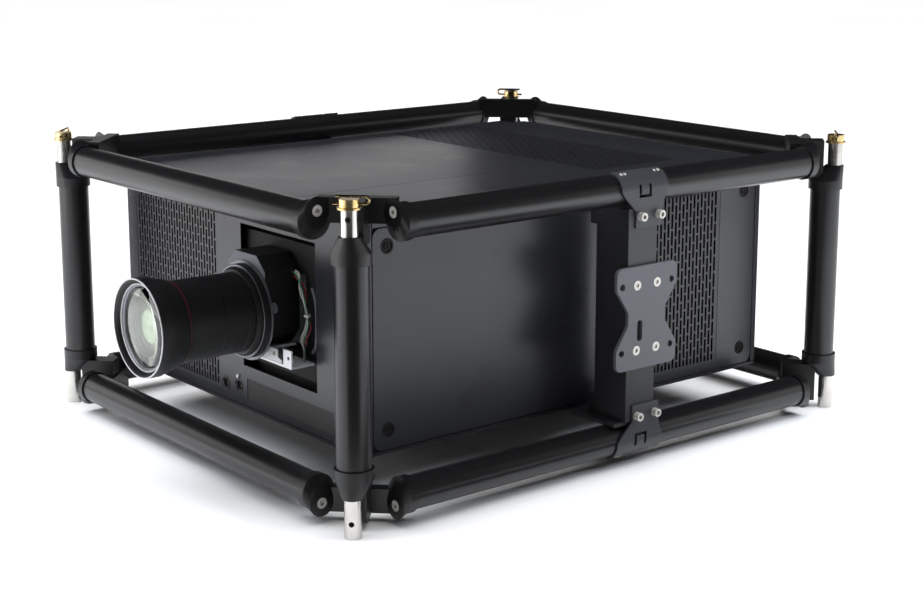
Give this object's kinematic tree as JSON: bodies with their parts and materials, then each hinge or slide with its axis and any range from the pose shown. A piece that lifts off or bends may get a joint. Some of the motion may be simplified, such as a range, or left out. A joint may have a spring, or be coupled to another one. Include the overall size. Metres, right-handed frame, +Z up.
{
  "type": "large-venue projector in rigging frame",
  "caption": "Large-venue projector with a long interchangeable lens, hung in a black tubular stacking frame with corner castings, spigots and side mounting plates.",
  "frame": {"origin": "middle of the four foot spigots, on the floor plane", "axes": "+Z up; the lens looks along -Y; +X is the projector right side"},
  "size_m": [0.9324, 1.194, 0.4822],
  "materials": {
    "frame_black": "satin black anodised tube",
    "casting_black": "satin black powder coat",
    "chrome": "polished nickel",
    "gilt": "yellow zinc plate",
    "bracket_black": "satin black powder coat",
    "steel": "bright stainless",
    "body_black": "satin black paint",
    "vent_black": "satin black paint",
    "fastener_black": "matt black",
    "chassis_grey": "matt black",
    "carriage_grey": "satin dark grey",
    "lens_black": "satin black anodised",
    "glass": "coated optical glass",
    "ring_silver": "satin",
    "bare_aluminium": "bare machined",
    "wire": "insulated wire",
    "socket_black": "black moulded",
    "latch_metal": "bright",
    "window_dark": "dark window",
    "panel_grey": "satin",
    "key_rubber": "matt",
    "switch_plastic": "semi gloss",
    "fan_black": "moulded",
    "wheel_phosphor": "phosphor coat",
    "supply_steel": "zinc plate",
    "board_green": "solder mask"
  },
  "bodies": {
    "frame": {"base_tray": "body_black", "chassis_frame": "chassis_grey", "control_board": "board_green", "corner_castings": "casting_black", "cover_fasteners": "fastener_black", "cross_beam": "bracket_black", "fan_frames": "fan_black", "frame_screws": "steel", "front_cover": "body_black", "front_sockets": "socket_black", "front_vent": "vent_black", "hook_plates": "bracket_black", "imaging_engine": "bare_aluminium", "left_cover": "body_black", "lens_bulkhead": "chassis_grey", "light_source": "bare_aluminium", "lower_rail_front": "frame_black", "lower_rail_left": "frame_black", "lower_rail_rear": "frame_black", "lower_rail_right": "frame_black", "mains_module": "socket_black", "mounting_plates": "bracket_black", "posts": "frame_black", "power_supply": "supply_steel", "rear_cover": "body_black", "right_cover": "body_black", "side_vents": "vent_black", "signal_sockets": "socket_black", "socket_panel": "panel_grey", "spigot_caps": "gilt", "spigots": "chrome", "status_window": "window_dark", "top_cover": "body_black", "top_vent": "vent_black", "upper_rail_front": "frame_black", "upper_rail_left": "frame_black", "upper_rail_rear": "frame_black", "upper_rail_right": "frame_black", "uprights": "bracket_black"},
    "lift": {"lift_carriage": "carriage_grey"},
    "cross": {"cross_carriage": "carriage_grey", "lens_barrel": "lens_black", "rear_glass": "glass", "switch_bracket": "bare_aluminium", "lens_wires": "wire"},
    "lock": {"lens_lock_ring": "ring_silver"},
    "zoom": {"zoom_ring": "lens_black"},
    "focus": {"focus_ring": "lens_black", "front_glass": "glass"},
    "clip_fl": {"clip_front_left": "gilt"},
    "clip_fr": {"clip_front_right": "gilt"},
    "clip_rl": {"clip_rear_left": "gilt"},
    "clip_rr": {"clip_rear_right": "gilt"},
    "fan_low": {"fan_rotor_1": "fan_black"},
    "fan_high": {"fan_rotor_2": "fan_black"},
    "wheel": {"phosphor_wheel": "wheel_phosphor"},
    "rocker": {"mains_rocker": "switch_plastic"},
    "key": {"power_key": "key_rubber"},
    "pad": {"menu_pad": "key_rubber"},
    "latch": {"socket_latch": "latch_metal"}
  },
  "joints": [
    {"name": "lens_lift", "type": "slide", "parent": "frame", "child": "lift", "axis": [0, 0, 1], "range_m": [-0.014, 0.014]},
    {"name": "lens_cross", "type": "slide", "parent": "lift", "child": "cross", "axis": [1, 0, 0], "range_m": [-0.012, 0.012]},
    {"name": "lens_lock", "type": "hinge", "parent": "cross", "child": "lock", "pos_m": [0.115, -0.489, 0.262], "axis": [0, -1, 0], "range_deg": [0, 20]},
    {"name": "zoom_turn", "type": "hinge", "parent": "cross", "child": "zoom", "pos_m": [0.115, -0.489, 0.262], "axis": [0, -1, 0], "range_deg": [-40, 40]},
    {"name": "focus_turn", "type": "hinge", "parent": "cross", "child": "focus", "pos_m": [0.115, -0.489, 0.262], "axis": [0, -1, 0], "range_deg": [-60, 60]},
    {"name": "clip_fr_pull", "type": "slide", "parent": "frame", "child": "clip_fr", "axis": [0.7071, 0.7071, 0], "range_m": [0, 0.045]},
    {"name": "clip_fl_pull", "type": "slide", "parent": "frame", "child": "clip_fl", "axis": [-0.7071, 0.7071, 0], "range_m": [0, 0.045]},
    {"name": "clip_rr_pull", "type": "slide", "parent": "frame", "child": "clip_rr", "axis": [0.7071, -0.7071, 0], "range_m": [0, 0.045]},
    {"name": "clip_rl_pull", "type": "slide", "parent": "frame", "child": "clip_rl", "axis": [-0.7071, -0.7071, 0], "range_m": [0, 0.045]},
    {"name": "fan_low_spin", "type": "hinge", "parent": "frame", "child": "fan_low", "pos_m": [0.19, 0.383, 0.176], "axis": [0, 1, 0], "continuous": true},
    {"name": "fan_high_spin", "type": "hinge", "parent": "frame", "child": "fan_high", "pos_m": [0.19, 0.383, 0.326], "axis": [0, 1, 0], "continuous": true},
    {"name": "wheel_spin", "type": "hinge", "parent": "frame", "child": "wheel", "pos_m": [-0.12, -0.032, 0.29], "axis": [0, 1, 0], "continuous": true},
    {"name": "mains_switch", "type": "hinge", "parent": "frame", "child": "rocker", "pos_m": [0.06, 0.398, 0.15], "axis": [1, 0, 0], "range_deg": [-10, 10]},
    {"name": "power_press", "type": "slide", "parent": "frame", "child": "key", "axis": [0, -1, 0], "range_m": [0, 0.002], "stiffness_N_per_m": 300, "springref_m": -0.0005},
    {"name": "menu_press", "type": "slide", "parent": "frame", "child": "pad", "axis": [0, -1, 0], "range_m": [0, 0.0012], "stiffness_N_per_m": 500, "springref_m": -0.0005},
    {"name": "latch_press", "type": "slide", "parent": "frame", "child": "latch", "axis": [0, 1, 0], "range_m": [0, 0.002], "stiffness_N_per_m": 200, "springref_m": -0.0005}
  ]
}
